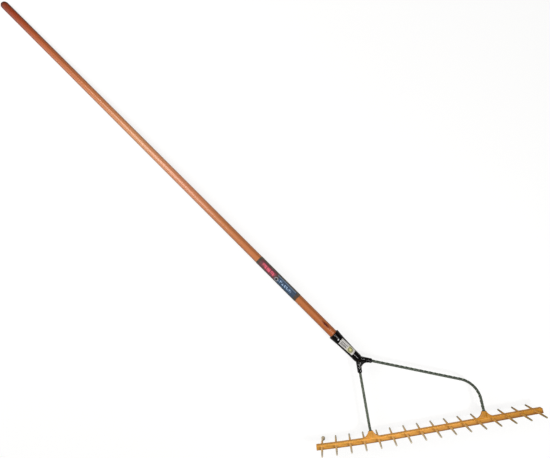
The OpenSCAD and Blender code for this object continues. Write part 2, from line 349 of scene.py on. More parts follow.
def window(tree, value, low, high, soft=0.5):
    """1 where value lies between low and high, with soft borders."""
    middle, half = (low + high) / 2, (high - low) / 2
    off = add_node(tree, "Math", {0: value, 1: middle}, operation="SUBTRACT").outputs[0]
    off = add_node(tree, "Math", {0: off}, operation="ABSOLUTE").outputs[0]
    return add_node(tree, "MapRange", {
        "Value": off, "From Min": half - soft, "From Max": half + soft, "To Min": 1, "To Max": 0,
    }).outputs[0]


mottle = add_node(tree, "TexNoise", {"Vector": place, "Scale": 160, "Detail": 3}).outputs["Fac"]
# Across the film the ground is lighter and greyer towards both edges, most on the right: a painted
# sheen
ground = add_node(tree, "MapRange", {"Value": side_mm, "From Min": -14, "From Max": 14}).outputs[0]
ground = add_node(tree, "ValToRGB", {0: ground}, stops=[
    (0.1, "#454236"), (0.3, "#4F4439"), (0.5, "#513F34"), (0.7, "#514439"), (0.9, "#625A4E"),
]).outputs[0]
clouding = add_node(tree, "ValToRGB", {0: mottle}, stops=[(0.3, 0.86), (0.7, 1.0)]).outputs[0]
ground = shaded(tree, ground, clouding)
sheet = add_node(tree, "CombineXYZ", {0: along_mm, 1: side_mm}).outputs[0]
# Each panel has one band of plain broken strokes, all alike and without a meaning
strokes = add_node(tree, "Mapping", {"Vector": sheet, "Scale": (0.24, 0.07, 1)}).outputs[0]
strokes = add_node(tree, "TexNoise", {"Vector": strokes, "Scale": 1, "Detail": 1}).outputs["Fac"]
red_ink = add_node(tree, "ValToRGB", {0: strokes}, stops=[(0.43, 0.08), (0.50, 1.0)]).outputs[0]
blue_ink = add_node(tree, "ValToRGB", {0: strokes}, stops=[(0.49, 0.0), (0.57, 1.0)]).outputs[0]
tone = ground
for along_span, side_span, ink, shade in (
    ((12, 88, 2), (-15, 12, 2), 1.0, "#304761"),
    ((98, 170, 2), (-13, 12, 2), 1.0, "#6D3B42"),
    ((106, 158, 4), (-6.4, 5, 1.4), red_ink, "#E65872"),
    ((28, 84, 1), (-5.4, 2.8, 1), blue_ink, "#9AB8DC"),
    ((15, 96, 0.5), (7.6, 11.0, 0.6), 1.0, "#75859B"),
):
    print_mask = both(tree, window(tree, along_mm, *along_span),
                      window(tree, side_mm, *side_span), ink)
    tone = over(tree, tone, print_mask, shade)
ring_at = add_node(tree, "VectorMath", {0: sheet, 1: (92, -5, 0)}, operation="DISTANCE")
for low, high, shade in ((-6, 6, "#1E1D24"), (4.2, 7.2, "#8B8A93")):
    tone = over(tree, tone, window(tree, ring_at.outputs["Value"], low, high, 0.4), shade)
scuffs = add_node(tree, "Mapping", {"Vector": place, "Scale": (1, 0.12, 1)}).outputs[0]
scuffs = add_node(tree, "TexNoise", {"Vector": scuffs, "Scale": 900, "Detail": 2}).outputs["Fac"]
gloss = add_node(tree, "MapRange", {"Value": scuffs, "To Min": 0.42, "To Max": 0.6}).outputs[0]
relief = add_node(tree, "Bump", {
    "Height": mottle, "Strength": 0.2, "Distance": 0.08 * MM,
}).outputs[0]
feed(tree, shader, {"Base Color": tone, "Roughness": gloss, "Normal": relief, "IOR": 1.53})
dress(sleeve, film)
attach(sleeve, "root")
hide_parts("printed_sleeve")


# Fork socket. One injection moulding of black polypropylene: a flared cup for the handle, a neck,
# and two arms with a web between them, all with soft edges. Its seats for the stays and for the
# handle are cored out.
bar_y = -748 * MM
apex_up = 302 * MM
apex = Vector((0, bar_y + apex_up, 0))
mouth_y = bar_y + 407 * MM
arm_leans = (-36.37, 33.55)
arm_r = 7.25 * MM
arm_len = 46 * MM
arm_round = 2.8 * MM
web_half = 5 * MM
web_reach = 42.3 * MM
web_curve = 17 * MM
stay_r = 4.1 * MM
seat_r = stay_r + 0.05 * MM
seat_start = 16 * MM


def built_up(name, sides, rings):
    """A solid drawn up along +Z from ring to ring, each (height, half width, half depth)."""
    deselect()
    corner = 1 / math.cos(math.pi / sides)
    low, wide, deep = rings[0]
    bpy.ops.mesh.primitive_circle_add(
        vertices=sides, radius=corner, fill_type="NGON", location=(0, 0, low),
        rotation=(0, 0, math.pi / sides),
    )
    piece = bpy.context.object
    piece.name = name
    bpy.ops.object.transform_apply(location=True, rotation=True, scale=True)
    bpy.ops.object.mode_set(mode="EDIT")
    bpy.ops.mesh.select_mode(type="FACE")
    bpy.ops.mesh.select_all(action="SELECT")
    bpy.ops.transform.resize(value=(wide, deep, 1), center_override=(0, 0, low))
    for height, next_wide, next_deep in rings[1:]:
        bpy.ops.mesh.extrude_region_move(TRANSFORM_OT_translate={"value": (0, 0, height - low)})
        bpy.ops.transform.resize(
            value=(next_wide / wide, next_deep / deep, 1), center_override=(0, 0, height)
        )
        low, wide, deep = height, next_wide, next_deep
    bpy.ops.mesh.select_all(action="SELECT")
    bpy.ops.mesh.normals_make_consistent(inside=False)
    bpy.ops.object.mode_set(mode="OBJECT")
    return piece


def turned(name, sides, rings):
    """A round solid along +Z from (height, radius) rings."""
    return built_up(name, sides, [(height, r, r) for height, r in rings])


def rounded_end(height, radius, round_off, steps=4):
    """Rings that round off the end of a turned solid."""
    arc = [math.pi / 2 * i / steps for i in range(1, steps + 1)]
    return [(height - round_off + round_off * math.sin(a),
             radius - round_off + round_off * math.cos(a)) for a in arc]


def carve(piece, cutter):
    """Cuts another solid out of a piece and takes the cutter away."""
    modify(piece, "BOOLEAN", object=cutter, operation="DIFFERENCE", solver="EXACT")
    bpy.data.objects.remove(cutter, do_unlink=True)


def join(main, *others):
    """Joins pieces into the main one as separate shells."""
    take(main)
    for other in others:
        other.select_set(True)
    bpy.ops.object.join()
    return main


socket = turned("fork_socket_moulding", 64, [
    (-17 * MM, 1 * MM), (-15 * MM, 5 * MM), (-9 * MM, 9 * MM), (-4 * MM, 12.4 * MM),
    (0, 13.5 * MM), (20 * MM, 13.5 * MM), (71 * MM, 15.3 * MM), (105 * MM, 18 * MM),
])
settle(socket, (-90, 0, 0), apex)
arms = []
for lean in arm_leans:
    arm = turned("arm", 48, [(0, arm_r), (arm_len - arm_round, arm_r)]
                 + rounded_end(arm_len, arm_r, arm_round))
    settle(arm, (90, 0, lean), apex)
    arms.append(arm)
web = built_up("web", 4, [
    (0, 1 * MM, web_half), (28.4 * MM, 19.9 * MM, web_half), (web_reach, 1 * MM, web_half),
])
settle(web, (90, 0, sum(arm_leans) / 2), apex)
hollow = turned("hollow", 64, [(-9 * MM, web_curve), (9 * MM, web_curve)])
lean = math.radians(sum(arm_leans) / 2)
settle(hollow, (0, 0, 0), apex + web_reach * Vector((math.sin(lean), -math.cos(lean), 0)))
carve(web, hollow)
join(socket, web, *arms)
modify(socket, "REMESH", mode="VOXEL", voxel_size=0.8 * MM)
modify(socket, "SMOOTH", factor=0.5, iterations=8)
mouth_cut = turned("mouth_cut", 64, [(0, 24 * MM), (12 * MM, 24 * MM)])
settle(mouth_cut, (-90, 0, 0), (0, mouth_y, 0))
carve(socket, mouth_cut)
bore = turned("bore", 64, [
    (-85.1 * MM, 9.05 * MM), (-1.6 * MM, 13.74 * MM), (-0.6 * MM, 14.1 * MM), (3 * MM, 16 * MM),
])
settle(bore, (-90, 0, 0), (0, mouth_y, 0))
carve(socket, bore)
for lean in arm_leans:
    seat = turned("seat", 32, [
        (seat_start, seat_r), (arm_len - 0.8 * MM, seat_r), (arm_len + 1 * MM, stay_r + 1.6 * MM),
    ])
    settle(seat, (90, 0, lean), apex)
    carve(socket, seat)
close_up(socket)

# Black polypropylene, moulded in a polished tool: near black with a soft gloss. Handling leaves
# faint dull scuffs along it, and the flow of the plastic a very faint mottle.
peel_gap = 1.2 * MM
black_pp, tree, shader, place = new_finish("moulded_black_polypropylene")
flow = add_node(tree, "TexNoise", {"Vector": place, "Scale": 90, "Detail": 3}).outputs["Fac"]
tone = add_node(tree, "ValToRGB", {0: flow}, stops=[
    (0.3, "#070606"), (0.7, "#0D0B0A"),
]).outputs[0]
scuffs = add_node(tree, "Mapping", {"Vector": place, "Scale": (1, 0.2, 1)}).outputs[0]
scuffs = add_node(tree, "TexNoise", {"Vector": scuffs, "Scale": 1100, "Detail": 3}).outputs["Fac"]
gloss = add_node(tree, "ValToRGB", {0: scuffs}, stops=[(0.4, 0.17), (0.75, 0.28)]).outputs[0]
peel = add_node(tree, "TexNoise", {"Vector": place, "Scale": 1 / peel_gap, "Detail": 2})
relief = add_node(tree, "Bump", {
    "Height": peel.outputs["Fac"], "Strength": 0.15, "Distance": 0.04 * MM,
}).outputs[0]
feed(tree, shader, {
    "Base Color": tone, "Roughness": gloss, "Normal": relief, "Specular IOR Level": 0.45,
})


# Sticker. A small paper label with rounded corners, laid on the front of the socket, where it
# bends round the flare. It is printed with plain grey rows and a yellow-green patch.
sticker_len = 56 * MM
sticker_wide = 20 * MM
sticker_middle = mouth_y - 56.5 * MM
sticker_turn = 12.8
sticker_skew = math.radians(3.3)
sticker_t = 0.22 * MM
sticker_lift = 30 * MM
flare_r = 15.6 * MM

deselect()
bpy.ops.mesh.primitive_plane_add(size=1)
label = bpy.context.object
label.name = "paper_label"
edit_all(label)
bpy.ops.transform.resize(value=(sticker_wide, sticker_len, 1))
bpy.ops.mesh.bevel(offset=2 * MM, segments=5, affect="VERTICES")
for axis, size, count in (((1, 0, 0), sticker_wide, 21), ((0, 1, 0), sticker_len, 26)):
    for i in range(1, count):
        bpy.ops.mesh.select_all(action="SELECT")
        bpy.ops.mesh.bisect(
            plane_co=Vector(axis) * (size * (i / count - 0.5)), plane_no=Vector(axis)
        )
bpy.ops.object.mode_set(mode="OBJECT")
tilt = math.radians(sticker_turn)
label.rotation_euler = (0, tilt, sticker_skew)
label.location = (sticker_lift * math.sin(tilt), sticker_middle, sticker_lift * math.cos(tilt))
bpy.context.view_layer.update()
modify(label, "SHRINKWRAP", target=socket, wrap_method="PROJECT", use_project_z=True,
       use_negative_direction=True, use_positive_direction=False, offset=0.1 * MM)
take(label)
bpy.ops.object.transform_apply(location=True, rotation=True, scale=True)
modify(label, "SMOOTH", factor=0.5, iterations=3)
modify(label, "SOLIDIFY", thickness=sticker_t, offset=1)
close_up(label)
smooth(label, 40)

# Coated label paper: a matt, slightly warm white that has greyed with handling, with printed rows
# of grey and one yellow-green patch at the lower end.
paper, tree, shader, place = new_finish("coated_label_paper")
split = add_node(tree, "SeparateXYZ", {0: place})
along_mm = add_node(tree, "MapRange", {
    "Value": split.outputs["Y"], "From Min": sticker_middle + sticker_len / 2,
    "From Max": sticker_middle - sticker_len / 2, "To Max": sticker_len / MM,
}).outputs[0]
across = add_node(tree, "Math", {0: round_angle(tree, split), 1: tilt},
                  operation="SUBTRACT").outputs[0]
side_mm = both(tree, across, flare_r / MM)
middle_mm = sticker_len / 2 / MM
sheet = add_node(tree, "CombineXYZ", {0: along_mm, 1: side_mm}).outputs[0]
sheet = add_node(tree, "Mapping", {
    "Vector": sheet, "Rotation": (0, 0, -sticker_skew), "Location": (
        middle_mm * (1 - math.cos(sticker_skew)), middle_mm * math.sin(sticker_skew), 0),
}).outputs[0]
split = add_node(tree, "SeparateXYZ", {0: sheet})
along_mm, side_mm = split.outputs["X"], split.outputs["Y"]
greyed = add_node(tree, "TexNoise", {"Vector": place, "Scale": 240, "Detail": 4}).outputs["Fac"]
tone = add_node(tree, "ValToRGB", {0: greyed}, stops=[
    (0.3, "#C5C2BF"), (0.7, "#D6D4D1"),
]).outputs[0]
words = add_node(tree, "TexNoise", {"Vector": place, "Scale": 700, "Detail": 1}).outputs["Fac"]
words = add_node(tree, "ValToRGB", {0: words}, stops=[(0.33, 0.0), (0.45, 1.0)]).outputs[0]
for row_at, half in ((-6.0, 1.3), (-2.4, 0.9), (1.4, 1.2)):
    row = both(tree, window(tree, side_mm, row_at - half, row_at + half, 0.25),
               window(tree, along_mm, 3, 29), words)
    tone = over(tree, tone, row, "#3C3A39")
for at, half, shade in (((39, -1.5, 0), 12, "#CBC7A6"), ((42, -1, 0), 9.0, "#8A8762"),
                        ((41.5, -0.6, 0), 4.0, "#CFCC86")):
    spot = add_node(tree, "VectorMath", {0: sheet, 1: at}, operation="DISTANCE").outputs["Value"]
    spot = both(tree, window(tree, spot, -half, half, 0.8), window(tree, along_mm, 31, 52, 1))
    tone = over(tree, tone, spot, shade)
creases = add_node(tree, "Bump", {
    "Height": greyed, "Strength": 0.2, "Distance": 0.05 * MM,
}).outputs[0]
feed(tree, shader, {"Base Color": tone, "Roughness": 0.55, "Normal": creases})
dress(label, paper)
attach(label, "root")
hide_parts("socket_sticker")


# Fixing screw. A zinc-plated steel wood screw with a pan head and a cross recess, driven through
# the socket into the handle. It sits in a small flat seat in the plastic.
screw_low, screw_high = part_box("fixing_screw")
screw_y = (screw_low.y + screw_high.y) / 2
head_r = (screw_high.x - screw_low.x) / 2
head_h = 2.2 * MM
head_z = screw_high.z - head_h
head_seat_r = head_r + 0.25 * MM

seat = turned("seat", 40, [(-0.02 * MM, head_seat_r), (4 * MM, head_seat_r)])
settle(seat, (0, 0, 0), (0, screw_y, head_z))
carve(socket, seat)
pilot = turned("pilot", 24, [(-12 * MM, 1.6 * MM), (1 * MM, 1.6 * MM)])
settle(pilot, (0, 0, 0), (0, screw_y, head_z))
carve(socket, pilot)
close_up(socket)
smooth(socket, 40)
dress(socket, black_pp)
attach(socket, "root")
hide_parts("fork_socket")

screw = turned("pan_head_screw", 40, [
    (-14 * MM, 0.4 * MM), (-11 * MM, 1.35 * MM), (-0.4 * MM, 1.45 * MM), (0, 1.5 * MM),
    (0.01 * MM, head_r - 0.25 * MM), (0.3 * MM, head_r), (0.8 * MM, head_r)]
    + rounded_end(head_h, head_r, 1.4 * MM, 6))
for quarter in (0, 90):
    slot = built_up("slot", 4, [
        (0.7 * MM, 0.9 * MM, 0.3 * MM), (1.4 * MM, 1.5 * MM, 0.42 * MM), (3 * MM, 1.9 * MM, 0.5 * MM),
    ])
    settle(slot, (0, 0, quarter + 20))
    carve(screw, slot)
settle(screw, (0, 0, 0), (0, screw_y, head_z))
close_up(screw)
smooth(screw, 40)

# Zinc-plated steel: a bright, slightly blue-white metal with a soft gloss, rubbed by the driver.
zinc, tree, shader, place = new_finish("zinc_plated_steel")
rub = add_node(tree, "TexNoise", {"Vector": place, "Scale": 2200, "Detail": 3}).outputs["Fac"]
tone = add_node(tree, "ValToRGB", {0: rub}, stops=[(0.3, "#C3C6CA"), (0.7, "#E2E4E6")]).outputs[0]
gloss = add_node(tree, "MapRange", {"Value": rub, "To Min": 0.28, "To Max": 0.5}).outputs[0]
feed(tree, shader, {"Base Color": tone, "Roughness": gloss, "Metallic": 1})
dress(screw, zinc)
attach(screw, "root")
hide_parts("fixing_screw")


# Stay tubes. Two thin-walled steel tubes, drawn, cut and bent, as in garden stakes. Only their
# cut ends are bare, inside the fork and the bosses, so their CAD nodes stay.

# Drawn steel: a plain grey metal, with fine dull lines that the drawing die has left.
steel, tree, shader, place = new_finish("drawn_steel_tube")
lines = add_node(tree, "TexNoise", {"Vector": place, "Scale": 800, "Detail": 3}).outputs["Fac"]
tone = add_node(tree, "ValToRGB", {0: lines}, stops=[(0.3, "#8D8C8A"), (0.7, "#B4B3B0")]).outputs[0]
gloss = add_node(tree, "MapRange", {"Value": lines, "To Min": 0.35, "To Max": 0.55}).outputs[0]
feed(tree, shader, {"Base Color": tone, "Roughness": gloss, "Metallic": 1})
for side in ("left", "right"):
    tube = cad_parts[side + "_stay_tube"]
    dress(tube, steel)


# Stay coats. Each tube wears a tight skin of dark green polyethylene, extruded over it and
# embossed with four rows of small nubs that give twine a hold. The coat is modelled straight,
# one pitch of nubs at a time, and then led along the stay's line.
nub_pitch = 15 * MM
coat_sides = 12
coat_r = 4.243 * MM
core_r = 3.25 * MM
nub_rise = 1.7 * MM
nub_middle = coat_r + 1.5 * MM
skew = 35
spin = math.radians(skew)
bar_shift = 2 * MM
boss_at = (-176 * MM, 176 * MM)
bend_r = 74 * MM
head_apex = Vector((bar_shift - apex_up * math.sin(spin), apex_up * math.cos(spin), 0))
stay_end = 5 * MM


def to_bar(piece):
    """Puts a piece that is drawn in the bar's own frame, with the bar along X, in its place."""
    settle(piece, (0, 0, -skew),
           (-bar_shift * math.cos(spin), bar_y + bar_shift * math.sin(spin), 0))


def stay_line(boss_x, corner_y):
    """The middle line of a stay in the bar's frame, from its seat in the fork to its boss."""
    corner = Vector((boss_x, corner_y, 0))
    down = (corner - head_apex).normalized()
    turn = math.atan2(abs(down.x), -down.y)
    tangent = bend_r * math.tan(turn / 2)
    side = 1 if down.x > 0 else -1
    first = head_apex + down * seat_start
    bend_from = corner - down * tangent
    steps = max(2, round(math.degrees(turn) / 2))
    line = [first + (bend_from - first) * i / 12 for i in range(12)]
    centre = Vector((boss_x - side * bend_r, corner_y - tangent, 0))
    for i in range(steps + 1):
        a = turn * (1 - i / steps)
        line.append(centre + bend_r * Vector((side * math.cos(a), math.sin(a), 0)))
    last = Vector((boss_x, stay_end, 0))
    return line + [line[-1] + (last - line[-1]) * i / 6 for i in range(1, 7)]


def led_along(piece, line):
    """Bends a straight piece along a line: its X becomes the distance from the line's start."""
    path = bpy.data.curves.new("lead", "CURVE")
    path.dimensions = "3D"
    run = path.splines.new("POLY")
    run.points.add(len(line) - 1)
    for point, at in zip(run.points, line):
        point.co = (*at, 1)
    lead = bpy.data.objects.new("lead", path)
    bpy.context.collection.objects.link(lead)
    bpy.context.view_layer.update()
    modify(piece, "CURVE", object=lead, deform_axis="POS_X")
    bpy.data.objects.remove(lead, do_unlink=True)


def nubbed_coat(name, line):
    """The coat of one stay, led along its line."""
    length = sum((b - a).length for a, b in zip(line, line[1:]))
    shells = []
    for r, cuts in ((coat_r, 6), (core_r, 2)):
        deselect()
        bpy.ops.mesh.primitive_cylinder_add(
            vertices=coat_sides, radius=r, depth=nub_pitch, end_fill_type="NOTHING",
            rotation=(0, math.radians(90), 0), location=(nub_pitch / 2, 0, 0),
        )
        shell = bpy.context.object
        bpy.ops.object.transform_apply(location=True, rotation=True, scale=True)
        bpy.ops.object.mode_set(mode="EDIT")
        pick(shell, "edges", lambda c, n: abs(n.x) > 0.9)
        bpy.ops.mesh.subdivide(number_cuts=cuts - 1)
        bpy.ops.mesh.select_all(action="SELECT")
        bpy.ops.mesh.normals_make_consistent(inside=r == core_r)
        if r == coat_r:
            for quarter in range(4):
                a = math.radians(45 + 90 * quarter)
                row = Vector((0, math.cos(a), math.sin(a)))
                x = nub_pitch * (0.25 if quarter % 2 else 0.75)
                pick(shell, "faces", lambda c, n: n.dot(row) > 0.99
                     and abs(c.x - x) < nub_pitch / 16)
                bpy.ops.mesh.extrude_region_shrink_fatten(
                    TRANSFORM_OT_shrink_fatten={"value": nub_rise})
                bpy.ops.transform.resize(value=(1.1, 1.1, 1.1), center_override=(
                    x, row.y * nub_middle, row.z * nub_middle))
        shells.append(shell)
    deselect()
    coat = join(*shells)
    coat.name = name
    modify(coat, "ARRAY", count=math.ceil(length / nub_pitch) + 1, use_relative_offset=False,
           use_constant_offset=True, constant_offset_displace=(nub_pitch, 0, 0),
           use_merge_vertices=True, merge_threshold=merge_gap)
    edit_all(coat)
    bpy.ops.mesh.bisect(plane_co=(length, 0, 0), plane_no=(1, 0, 0), clear_outer=True)
    for x in (0, length):
        pick(coat, "edges", lambda c, n: abs(c.x - x) < merge_gap and abs(n.x) < 0.1)
        bpy.ops.mesh.bridge_edge_loops()
    bpy.ops.object.mode_set(mode="OBJECT")
    close_up(coat)
    modify(coat, "SUBSURF", levels=1, render_levels=1)
    led_along(coat, line)
    to_bar(coat)
    close_up(coat)
    smooth(coat, 60)
    return coat


# Extruded polyethylene: a dark olive green skin with a waxy, low gloss. The tips of the nubs are
# pale, partly rubbed and partly painted glints. The left stay is lighter than the wide bend of
# the right one.
green_pe, tree, shader, place = new_finish("extruded_green_polyethylene")
dust = add_node(tree, "TexNoise", {"Vector": place, "Scale": 45, "Detail": 3}).outputs["Fac"]
tone = add_node(tree, "ValToRGB", {0: dust}, stops=[(0.3, "#474F42"), (0.7, "#5B6455")]).outputs[0]
side = add_node(tree, "SeparateXYZ", {0: place}).outputs["X"]
left_lighter = add_node(tree, "MapRange", {"Value": side, "From Min": -0.05, "From Max": 0.3}).outputs[0]
left_lighter = add_node(tree, "ValToRGB", {0: left_lighter}, stops=[
    (0.0, 1.0), (0.22, "#C4CDC6"), (0.9, "#B4BCB6"),
]).outputs[0]
raised = add_node(tree, "Attribute", attribute_name="raised").outputs["Fac"]
# The pale tips of the nubs: partly rubbed wear, partly painted glints
tone = over(tree, shaded(tree, tone, left_lighter), raised, "#98A28C")
waxy = add_node(tree, "TexNoise", {"Vector": place, "Scale": 1500, "Detail": 2}).outputs["Fac"]
relief = add_node(tree, "Bump", {
    "Height": waxy, "Strength": 0.15, "Distance": 0.05 * MM,
}).outputs[0]
feed(tree, shader, {"Base Color": tone, "Roughness": 0.42, "Normal": relief})


def mark_raised(piece, line):
    """Stores how far each point stands out of the coat, for the pale tips of the nubs, partly rubbed
    and partly painted glints.
    """
    pale_tip_start, pale_tip_full = 4.35 * MM, 4.8 * MM
    points = [Vector(((p.x - bar_shift) * math.cos(spin) + p.y * math.sin(spin),
                      (bar_shift - p.x) * math.sin(spin) + p.y * math.cos(spin) + bar_y, 0))
              for p in line]
    mark = piece.data.attributes.new("raised", "FLOAT", "POINT")
    for v in piece.data.vertices:
        out = 1
        for a, b in zip(points, points[1:]):
            run = b - a
            t = max(0, min(1, (v.co - a).dot(run) / run.length_squared))
            out = min(out, (v.co - a - run * t).length)
        mark.data[v.index].value = max(0, min(1, (out - pale_tip_start) / (pale_tip_full - pale_tip_start)))


for side, boss_x, corner_y in zip(("left", "right"), boss_at, (48 * MM, 111 * MM)):
    line = stay_line(boss_x, corner_y)
    coat = nubbed_coat(side + "_nubbed_coat", line)
    mark_raised(coat, line)
    dress(coat, green_pe)
    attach(coat, "root")
    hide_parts(side + "_stay_coat")


# Bar. One long injection moulding of orange-yellow polypropylene with rounded edges. Two bosses
# on flared feet take the stays, a low collar stands round each tooth on both faces, and the ends
# are cored a little. In use its left third has bent towards the handle.
bar_len = 700 * MM
bar_middle = -2 * MM
bar_w = 15 * MM
bar_t = 14 * MM
left_short = 3 * MM
boss_top = 27 * MM
boss_r = 6 * MM
foot_r = 26 * MM
foot_half = 3.4 * MM
pitch = 44 * MM
tooth_count = 16
hole_r = 4.05 * MM
peg_shift = -1.5 * MM
peg_at = [(i - 7.5) * pitch + peg_shift for i in range(tooth_count)]
half_span = 330 * MM
bend_start = -88 * MM
bend_depth = 6.5 * MM
twist = 2.3
across_slope = 0.004


def bow(x):
    """How far the bar has bent towards the handle at x, 6.5 mm at the first tooth."""
    return bend_depth * (min(0, x - bend_start) / (-half_span - bend_start)) ** 2


def peg_lean(x):
    """How far a slight twist leans the peg at x, in degrees about the bar's length."""
    return -twist * x / half_span


bar = built_up("bar_moulding", 4, [
    (-bar_len / 2 + left_short, bar_t / 2, bar_w / 2), (bar_len / 2, bar_t / 2, bar_w / 2),
])
settle(bar, (0, 90, 0), (bar_middle, 0, 0))
bar_parts = []
for x in boss_at:
    boss = turned("boss", 40, [(0, boss_r), (boss_top - 1 * MM, boss_r), (boss_top, 5.4 * MM)])
    settle(boss, (-90, 0, 0), (x, 0, 0))
    foot = [(0, boss_r + foot_r)]
    for i in range(11):
        a = math.radians(9 * i)
        foot.append((bar_w / 2 + foot_r * (1 - math.cos(a)), boss_r + foot_r * (1 - math.sin(a))))
    foot = [f for f in foot if f[0] <= boss_top - 1 * MM]
    flare = built_up("flare", 4, [(h, wide, foot_half) for h, wide in foot])
    settle(flare, (-90, 0, 0), (x, 0, 0))
    bar_parts += [boss, flare]
for x in peg_at:
    collar = turned("collar", 32, [
        (-8.5 * MM, 4.9 * MM), (-7 * MM, 5.5 * MM), (7 * MM, 5.5 * MM), (8.5 * MM, 4.9 * MM),
    ])
    settle(collar, (0, 0, 0), (x, 0, 0))
    bar_parts.append(collar)
join(bar, *bar_parts)
modify(bar, "REMESH", mode="VOXEL", voxel_size=1.0 * MM)
modify(bar, "SMOOTH", factor=0.5, iterations=7)
cutters = []
for end, far in ((-1, bar_len / 2 - left_short), (1, bar_len / 2)):
    core = built_up("core", 4, [
        (far - 1.2 * MM, 4.2 * MM, 4.7 * MM), (far + 2 * MM, 5.2 * MM, 5.7 * MM),
    ])
    settle(core, (0, 90 * end, 0), (bar_middle, 0, 0))
    cutters.append(core)
carve(bar, join(*cutters))
bar_start = bar_middle - bar_len / 2
settle(bar, (0, 0, 0), (-bar_start, 0, 0))
bar_line = [bar_start + bar_len * i / 70 for i in range(71)]
led_along(bar, [Vector((x, bow(x), 0)) for x in bar_line])
cutters = []
for x in peg_at:
    hole = turned("hole", 24, [(-12 * MM, hole_r), (12 * MM, hole_r)])
    settle(hole, (peg_lean(x), 0, 0), (x, bow(x), 0))
    cutters.append(hole)
for x in boss_at:
    seat = turned("seat", 32, [
        (stay_end, seat_r), (boss_top - 1 * MM, seat_r), (boss_top + 0.6 * MM, stay_r + 1.2 * MM),
    ])
    settle(seat, (-90, 0, 0), (x, bow(x), 0))
    cutters.append(seat)
carve(bar, join(*cutters))
to_bar(bar)
close_up(bar)
smooth(bar, 40)


def along_bar(tree, place):
    """The coordinates of the bar's own frame, from the object coordinates."""
    return add_node(tree, "Mapping", {
        "Vector": place, "Rotation": (0, 0, spin),
        "Location": (bar_shift + bar_y * math.sin(spin), -bar_y * math.cos(spin), 0),
    }).outputs[0]


# Moulded polypropylene, coloured through: a warm orange yellow with a soft satin gloss. The flow
# of the melt leaves cloudy streaks along the bar, and its right end is a deeper orange. Painted
# light is laid on it too: a painted shade along the lower edge and on the right end's last few
# millimetres, painted shadows just left of the collars, and a painted light on the upper edge.
# From the upper edge onto the bosses the colour is darker.
yellow_pp, tree, shader, place = new_finish("moulded_yellow_polypropylene")
on_bar = along_bar(tree, place)
split = add_node(tree, "SeparateXYZ", {0: on_bar})
streaks = add_node(tree, "Mapping", {"Vector": on_bar, "Scale": (0.25, 1, 1)}).outputs[0]
streaks = add_node(tree, "TexNoise", {"Vector": streaks, "Scale": 110, "Detail": 4}).outputs["Fac"]
pigment = add_node(tree, "MapRange", {
    "Value": split.outputs["X"], "From Min": -bar_len / 2, "From Max": bar_len / 2,
}).outputs[0]
# Along the bar; the last stop is a painted shade on the right end's last few millimetres
tone = add_node(tree, "ValToRGB", {0: pigment}, stops=[
    (0.0, "#DD9F42"), (0.3, "#E6A346"), (0.6, "#D89636"), (0.8, "#CA8927"), (0.99, "#C08222"),
    (1.0, "#8A5A20"),
]).outputs[0]
cloud_shade = add_node(tree, "ValToRGB", {0: streaks}, stops=[(0.3, 0.86), (0.7, 1.0)]).outputs[0]
tone = shaded(tree, tone, cloud_shade)
# The distance across the bar follows its bow and its twist
bent = add_node(tree, "Math", {0: split.outputs["X"], 1: bend_start},
                operation="SUBTRACT").outputs[0]
bent = add_node(tree, "Math", {0: bent, 1: 0.0}, operation="MINIMUM").outputs[0]
bent = add_node(tree, "Math", {0: bent, 1: 2.0}, operation="POWER").outputs[0]
bent = both(tree, bent, bow(-1) / (-1 - bend_start) ** 2)
across = add_node(tree, "Math", {0: split.outputs["Y"], 1: bent}, operation="SUBTRACT").outputs[0]
wider = both(tree, split.outputs["X"], across_slope)
across = add_node(tree, "Math", {0: across, 1: wider}, operation="SUBTRACT").outputs[0]
# Painted shade along the lower edge, where the bar's rounded edge turns away from the light
soil_and_shade = add_node(tree, "MapRange", {
    "Value": across, "From Min": -0.8 * MM, "From Max": -5.8 * MM, "To Max": 0.88,
}).outputs[0]
tone = over(tree, tone, soil_and_shade, "#855524")
# A painted light on the upper edge; beyond it, onto the side and the bosses, the colour is darker
painted_edge_light = add_node(tree, "MapRange", {
    "Value": across, "From Min": 2.0 * MM, "From Max": 6.0 * MM, "To Min": 1.0, "To Max": 1.2,
}).outputs[0]
boss_shade = add_node(tree, "MapRange", {
    "Value": across, "From Min": 6.5 * MM, "From Max": 10.5 * MM, "To Min": 1.0, "To Max": 0.76,
}).outputs[0]
tone = shaded(tree, tone, both(tree, painted_edge_light, boss_shade))
# Painted shadows of the pegs and collars, on the bar's face just left of each collar
painted_collar_shadow = add_node(tree, "Math", {0: split.outputs["X"], 1: 7.5 * pitch - peg_shift + 6 * MM},
                  operation="ADD").outputs[0]
painted_collar_shadow = add_node(tree, "Math", {0: painted_collar_shadow, 1: pitch / 2}, operation="PINGPONG").outputs[0]
painted_collar_shadow = add_node(tree, "MapRange", {
    "Value": painted_collar_shadow, "From Min": 2 * MM, "From Max": 5.5 * MM, "To Min": 0.36, "To Max": 0,
}).outputs[0]
middle = add_node(tree, "Math", {0: across}, operation="ABSOLUTE").outputs[0]
middle = add_node(tree, "MapRange", {
    "Value": middle, "From Min": 3 * MM, "From Max": 7 * MM, "To Min": 1, "To Max": 0,
}).outputs[0]
tone = over(tree, tone, both(tree, painted_collar_shadow, middle), "#6A3E16")
peel = add_node(tree, "TexNoise", {
    "Vector": place, "Scale": 1 / (1.4 * MM), "Detail": 3,
}).outputs["Fac"]
gloss = add_node(tree, "MapRange", {"Value": peel, "To Min": 0.36, "To Max": 0.5}).outputs[0]
relief = add_node(tree, "Bump", {
    "Height": peel, "Strength": 0.2, "Distance": 0.05 * MM,
}).outputs[0]
feed(tree, shader, {
    "Base Color": tone, "Roughness": gloss, "Normal": relief, "Specular IOR Level": 0.35,
    "Subsurface Weight": 0.05, "Subsurface Scale": 2 * MM,
})
dress(bar, yellow_pp)
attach(bar, "root")
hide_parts("rake_bar")


